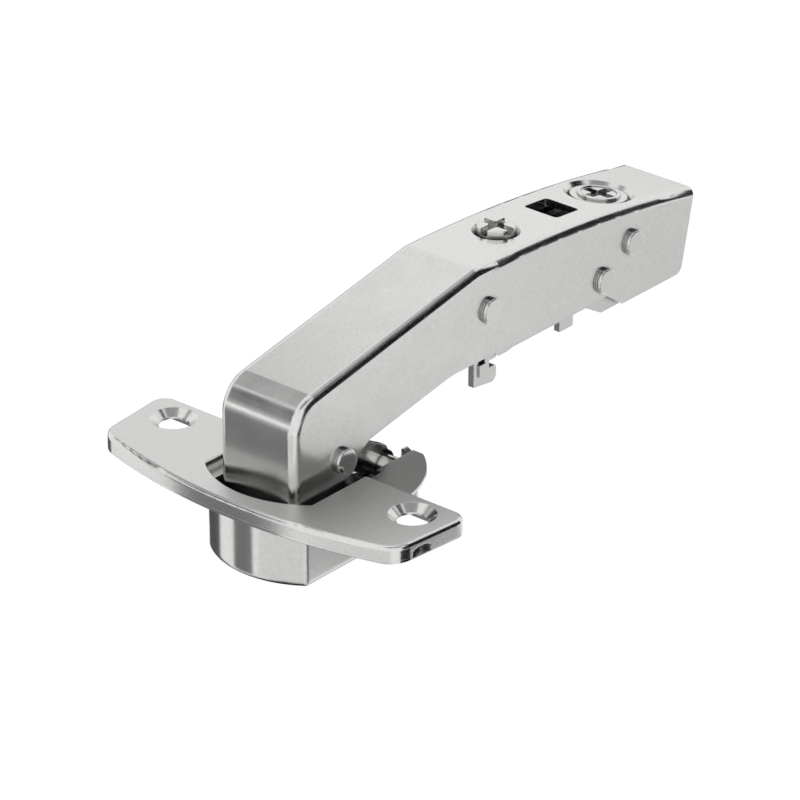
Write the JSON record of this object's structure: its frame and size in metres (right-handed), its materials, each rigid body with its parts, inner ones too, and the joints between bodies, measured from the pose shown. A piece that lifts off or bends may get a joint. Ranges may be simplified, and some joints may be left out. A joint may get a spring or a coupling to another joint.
{
  "type": "concealed cup hinge",
  "caption": "Concealed cabinet hinge: round cup with a screw-on flange, cranked channel arm on a two-link mechanism, with clip base and adjusting screws.",
  "frame": {"origin": "on the axis of the cup, in the plane of the door's face that the flange lies on", "axes": "+X from the cup along the arm, +Z out of the door, +Y along the flange"},
  "size_m": [0.1121, 0.0666, 0.0404],
  "materials": {
    "plated_casting": "nickel plated, bright satin",
    "plated_sheet": "nickel plated, bright satin",
    "plated_pins": "nickel plated, satin",
    "plated_screws": "nickel plated, satin",
    "spring_wire": "bare spring steel"
  },
  "bodies": {
    "cup": {"hinge_cup": "plated_casting", "outer_cup_pins": "plated_pins", "inner_cup_pin": "plated_pins", "closing_springs": "spring_wire"},
    "outer_arm_link": {"outer_link": "plated_sheet"},
    "inner_arm_link": {"inner_link": "plated_sheet"},
    "arm": {"hinge_arm": "plated_sheet", "arm_rivets": "plated_pins", "arm_washers": "plated_pins", "nose_pin": "plated_pins", "nose_spacers": "plated_pins", "front_rivets": "plated_pins", "middle_rivets": "plated_pins", "rear_rivets": "plated_pins"},
    "carriage": {"adjuster_carriage": "plated_sheet"},
    "base": {"clip_base": "plated_sheet", "lever_pin": "plated_pins", "lever_spring": "spring_wire"},
    "side_screw": {"side_adjusting_screw": "plated_screws"},
    "depth_screw": {"depth_adjusting_screw": "plated_screws", "screw_circlip": "plated_screws"},
    "lever": {"release_lever": "plated_sheet"}
  },
  "joints": [
    {"name": "outer_link_swing", "type": "hinge", "parent": "cup", "child": "outer_arm_link", "pos_m": [0.0112, 0, -0.0017], "axis": [0, 1, 0], "range_deg": [0, 108.33], "stiffness_Nm_per_rad": 0.2, "springref_deg": -28.65},
    {"name": "arm_fold", "type": "hinge", "parent": "outer_arm_link", "child": "arm", "pos_m": [-0.00205, 0, 0.0053], "axis": [0, 1, 0], "range_deg": [-13.34, 0]},
    {"name": "inner_link_swing", "type": "hinge", "parent": "cup", "child": "inner_arm_link", "pos_m": [0.0126, 0, -0.0056], "axis": [0, 1, 0], "range_deg": [0, 87.75]},
    {"name": "side_screw_turn", "type": "hinge", "parent": "arm", "child": "side_screw", "pos_m": [0.0466, 0, 0.02672], "axis": [0.046, 0, 0.9989], "range_deg": [-288.1, 288.1]},
    {"name": "carriage_tilt", "type": "hinge", "parent": "arm", "child": "carriage", "pos_m": [0.0733, 0, 0.0176], "axis": [0, 1, 0], "range_deg": [-1.2, 1.2]},
    {"name": "depth_screw_turn", "type": "hinge", "parent": "carriage", "child": "depth_screw", "pos_m": [0.0743, 0, 0.02422], "axis": [0.1333, 0, 0.9911], "range_deg": [-180.1, 180.1]},
    {"name": "base_slide", "type": "slide", "parent": "carriage", "child": "base", "axis": [1, 0, 0], "range_m": [-0.002, 0.002]},
    {"name": "lever_press", "type": "hinge", "parent": "base", "child": "lever", "pos_m": [0.0786, 0, 0.0126], "axis": [0, 1, 0], "range_deg": [-18, 0], "stiffness_Nm_per_rad": 0.02, "springref_deg": 11.46}
  ],
  "couplings": [
    {"joint": "arm_fold", "follows": "outer_link_swing", "ratio": -0.12305},
    {"joint": "inner_link_swing", "follows": "outer_link_swing", "ratio": 0.8099},
    {"joint": "side_screw_turn", "follows": "carriage_tilt", "ratio": 240},
    {"joint": "depth_screw_turn", "follows": "base_slide", "rad_per_m": 1570.8}
  ]
}
